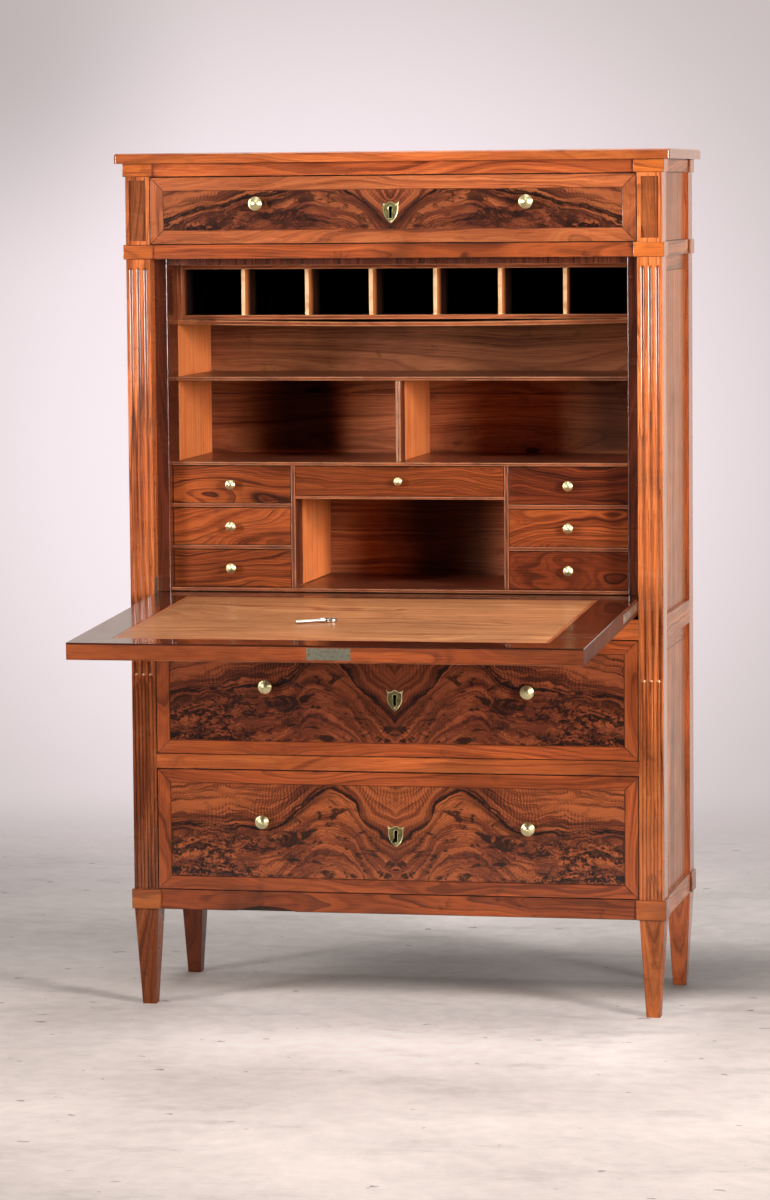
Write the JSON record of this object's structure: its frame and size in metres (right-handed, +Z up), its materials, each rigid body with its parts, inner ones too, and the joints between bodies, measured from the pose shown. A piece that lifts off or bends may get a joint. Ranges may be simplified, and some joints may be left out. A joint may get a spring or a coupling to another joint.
{
  "type": "secretaire",
  "caption": "Upright writing cabinet with a fall front, a fitted compartment of small drawers and pigeonholes, a frieze drawer above and long drawers below, on square tapered legs.",
  "frame": {"origin": "on the floor, under the middle of the whole model with its fall open", "axes": "+Z up, -Y is the way the front looks and the fall opens, +X to the right as seen from the front, X = 0 in the middle of the front"},
  "size_m": [0.992, 0.9764, 1.525],
  "materials": {
    "polished_walnut": "French-polished walnut",
    "burr_walnut": "French-polished burr walnut veneer with mitred bandings",
    "interior_walnut": "waxed walnut",
    "pine": "aged bare pine",
    "writing_veneer": "satin figured walnut veneer",
    "brass": "polished",
    "steel": "dull aged steel"
  },
  "bodies": {
    "carcass": {"top_board": "burr_walnut", "front_post_left": "polished_walnut", "front_post_right": "polished_walnut", "rear_post_left": "polished_walnut", "rear_post_right": "polished_walnut", "corner_blocks": "polished_walnut", "top_rail": "polished_walnut", "band_rail": "polished_walnut", "fall_rail": "polished_walnut", "drawer_rail": "polished_walnut", "base_rail": "polished_walnut", "side_rails": "polished_walnut", "side_panels": "burr_walnut", "back_rails": "pine", "back_panels": "pine", "dust_boards": "pine", "drawer_runners": "pine", "compartment_linings": "interior_walnut", "cabinet_floor": "interior_walnut", "drawer_nest": "interior_walnut", "drawer_shelf": "interior_walnut", "upper_shelf": "interior_walnut", "centre_partition": "interior_walnut", "pigeonhole_case": "interior_walnut", "pigeonhole_dividers": "interior_walnut", "support_shelf": "interior_walnut", "post_hinge_plates": "steel"},
    "fall": {"fall_board": "burr_walnut", "writing_border": "polished_walnut", "writing_surface": "writing_veneer", "fall_lock": "steel", "fall_hinge_plates": "steel", "key": "steel"},
    "fall_bolt": {"fall_bolt": "steel"},
    "frieze_drawer": {"frieze_drawer_front": "burr_walnut", "frieze_drawer_box": "pine", "frieze_drawer_fittings": "brass"},
    "frieze_drawer_bolt": {"frieze_drawer_bolt": "steel"},
    "middle_drawer": {"middle_drawer_front": "burr_walnut", "middle_drawer_box": "pine", "middle_drawer_fittings": "brass"},
    "middle_drawer_bolt": {"middle_drawer_bolt": "steel"},
    "lower_drawer": {"lower_drawer_front": "burr_walnut", "lower_drawer_box": "pine", "lower_drawer_fittings": "brass"},
    "lower_drawer_bolt": {"lower_drawer_bolt": "steel"},
    "left_bottom_drawer": {"left_bottom_drawer": "interior_walnut", "left_bottom_drawer_knob": "brass"},
    "left_middle_drawer": {"left_middle_drawer": "interior_walnut", "left_middle_drawer_knob": "brass"},
    "left_top_drawer": {"left_top_drawer": "interior_walnut", "left_top_drawer_knob": "brass"},
    "right_bottom_drawer": {"right_bottom_drawer": "interior_walnut", "right_bottom_drawer_knob": "brass"},
    "right_middle_drawer": {"right_middle_drawer": "interior_walnut", "right_middle_drawer_knob": "brass"},
    "right_top_drawer": {"right_top_drawer": "interior_walnut", "right_top_drawer_knob": "brass"},
    "centre_drawer": {"centre_drawer": "interior_walnut", "centre_drawer_knob": "brass"}
  },
  "joints": [
    {"name": "fall_hinge", "type": "hinge", "parent": "carcass", "child": "fall", "pos_m": [0, 0.11874, 0.7295], "axis": [1, 0, 0], "range_deg": [-92.8, 0]},
    {"name": "fall_bolt_slide", "type": "slide", "parent": "fall", "child": "fall_bolt", "axis": [0, -0.9988, -0.0489], "range_m": [0, 0.008]},
    {"name": "frieze_drawer_slide", "type": "slide", "parent": "carcass", "child": "frieze_drawer", "axis": [0, -1, 0], "range_m": [0, 0.24]},
    {"name": "frieze_drawer_bolt_slide", "type": "slide", "parent": "frieze_drawer", "child": "frieze_drawer_bolt", "axis": [0, 0, 1], "range_m": [0, 0.008]},
    {"name": "middle_drawer_slide", "type": "slide", "parent": "carcass", "child": "middle_drawer", "axis": [0, -1, 0], "range_m": [0, 0.24]},
    {"name": "middle_drawer_bolt_slide", "type": "slide", "parent": "middle_drawer", "child": "middle_drawer_bolt", "axis": [0, 0, 1], "range_m": [0, 0.008]},
    {"name": "lower_drawer_slide", "type": "slide", "parent": "carcass", "child": "lower_drawer", "axis": [0, -1, 0], "range_m": [0, 0.24]},
    {"name": "lower_drawer_bolt_slide", "type": "slide", "parent": "lower_drawer", "child": "lower_drawer_bolt", "axis": [0, 0, 1], "range_m": [0, 0.008]},
    {"name": "left_bottom_drawer_slide", "type": "slide", "parent": "carcass", "child": "left_bottom_drawer", "axis": [0, -1, 0], "range_m": [0, 0.2]},
    {"name": "left_middle_drawer_slide", "type": "slide", "parent": "carcass", "child": "left_middle_drawer", "axis": [0, -1, 0], "range_m": [0, 0.2]},
    {"name": "left_top_drawer_slide", "type": "slide", "parent": "carcass", "child": "left_top_drawer", "axis": [0, -1, 0], "range_m": [0, 0.2]},
    {"name": "right_bottom_drawer_slide", "type": "slide", "parent": "carcass", "child": "right_bottom_drawer", "axis": [0, -1, 0], "range_m": [0, 0.2]},
    {"name": "right_middle_drawer_slide", "type": "slide", "parent": "carcass", "child": "right_middle_drawer", "axis": [0, -1, 0], "range_m": [0, 0.2]},
    {"name": "right_top_drawer_slide", "type": "slide", "parent": "carcass", "child": "right_top_drawer", "axis": [0, -1, 0], "range_m": [0, 0.2]},
    {"name": "centre_drawer_slide", "type": "slide", "parent": "carcass", "child": "centre_drawer", "axis": [0, -1, 0], "range_m": [0, 0.2]}
  ]
}
